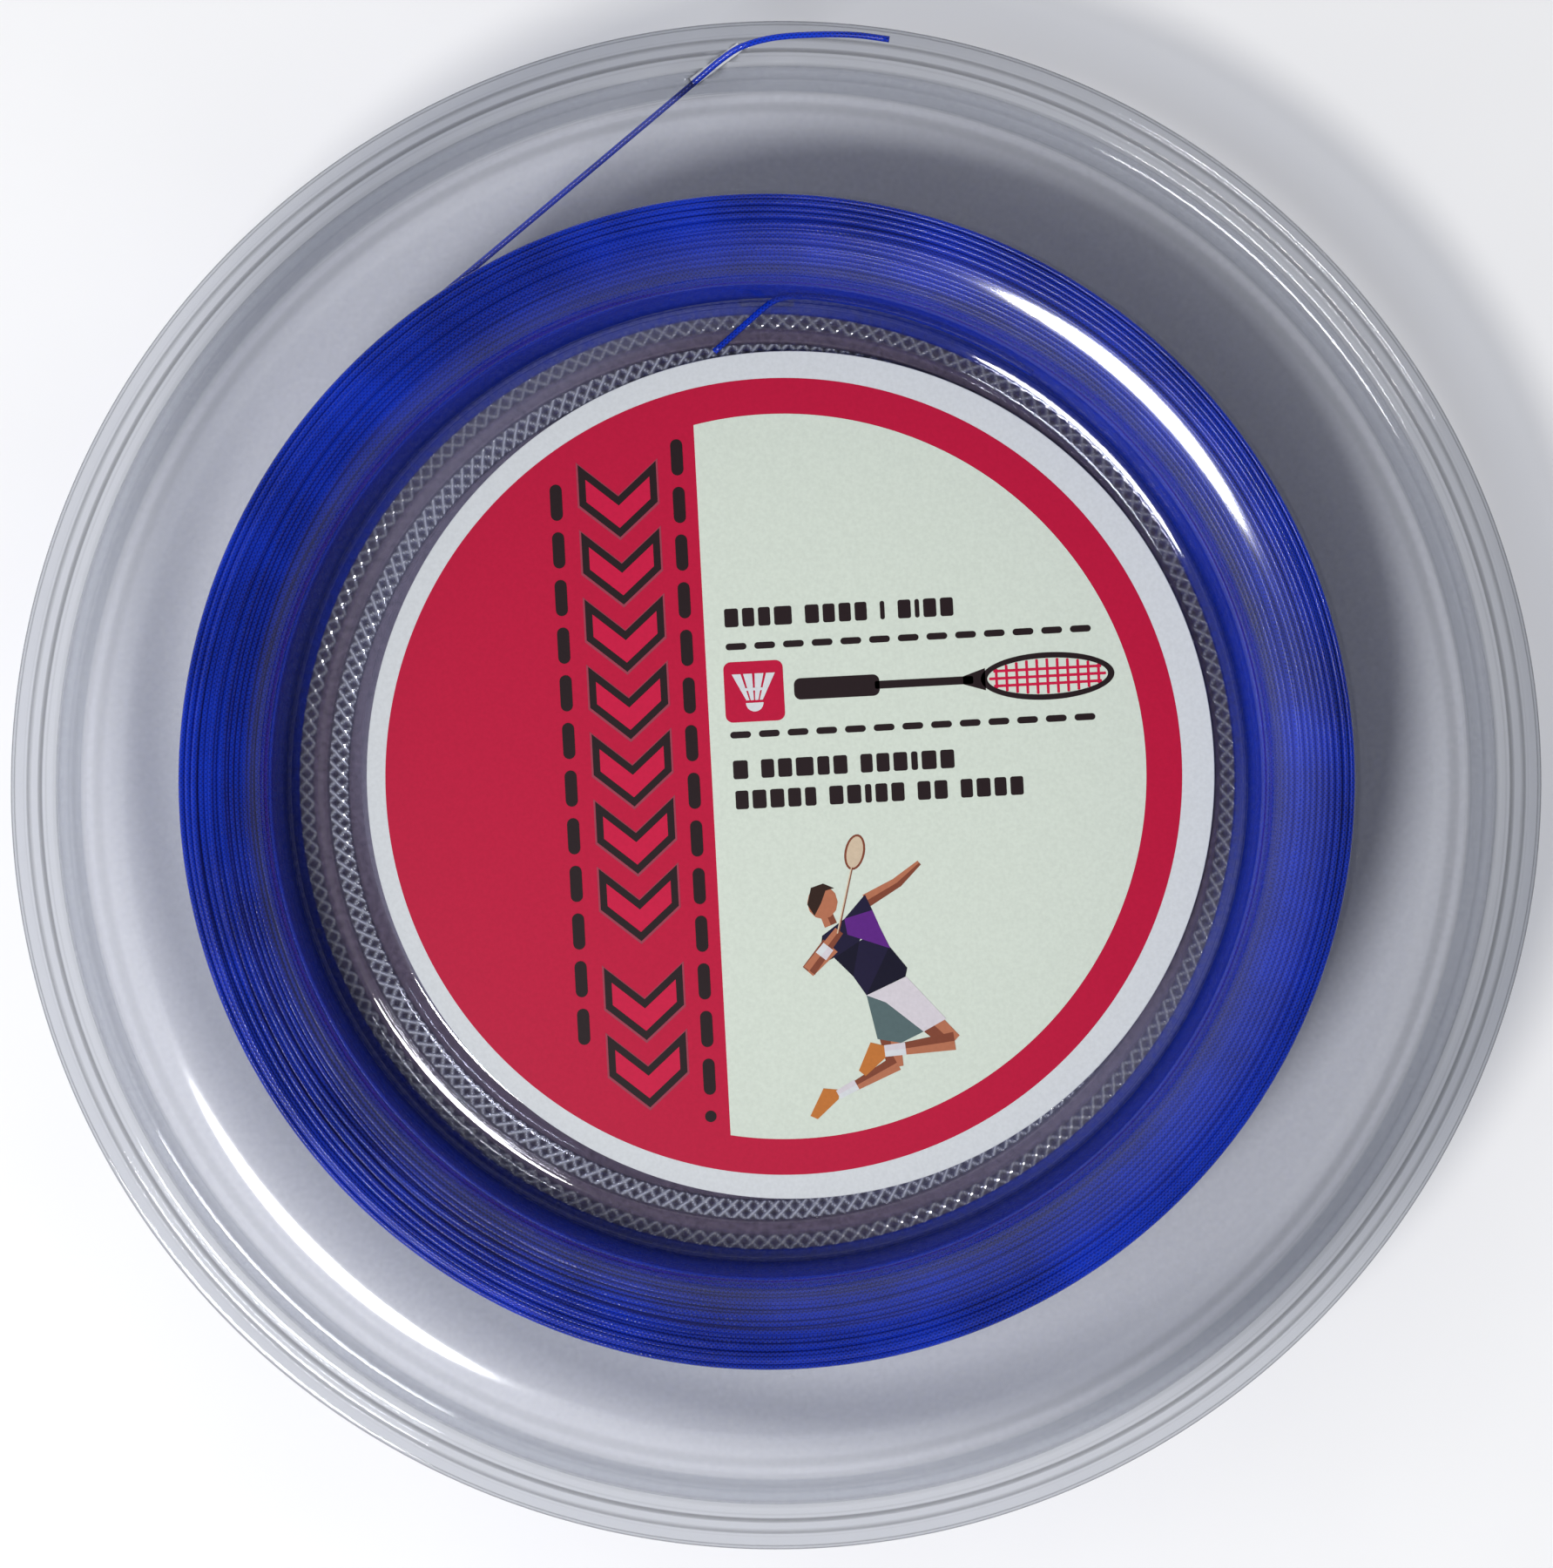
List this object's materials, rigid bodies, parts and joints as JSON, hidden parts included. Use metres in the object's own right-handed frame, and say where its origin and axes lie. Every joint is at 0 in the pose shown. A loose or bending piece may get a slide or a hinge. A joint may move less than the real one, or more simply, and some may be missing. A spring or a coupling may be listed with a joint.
{
  "type": "string reel",
  "caption": "Clear plastic reel of blue racket string: two flanged formed halves around a wound string, with a round label in each hub recess.",
  "frame": {"origin": "middle of the rear flange's rim, on the surface the reel lies on", "axes": "+Z out of the reel's front, across its width; +Y towards the slit that holds the string's outer end"},
  "size_m": [0.16, 0.16, 0.0291],
  "materials": {
    "clear_sheet": "clear glossy formed sheet",
    "blue_string": "glossy braided nylon string",
    "front_label_print": "satin coated print",
    "rear_label_paper": "satin coated paper"
  },
  "bodies": {
    "root": {"front_shell": "clear_sheet", "rear_shell": "clear_sheet", "string_pack": "blue_string", "string_tail": "blue_string", "string_inner_end": "blue_string", "front_label": "front_label_print", "rear_label": "rear_label_paper"}
  },
  "joints": []
}
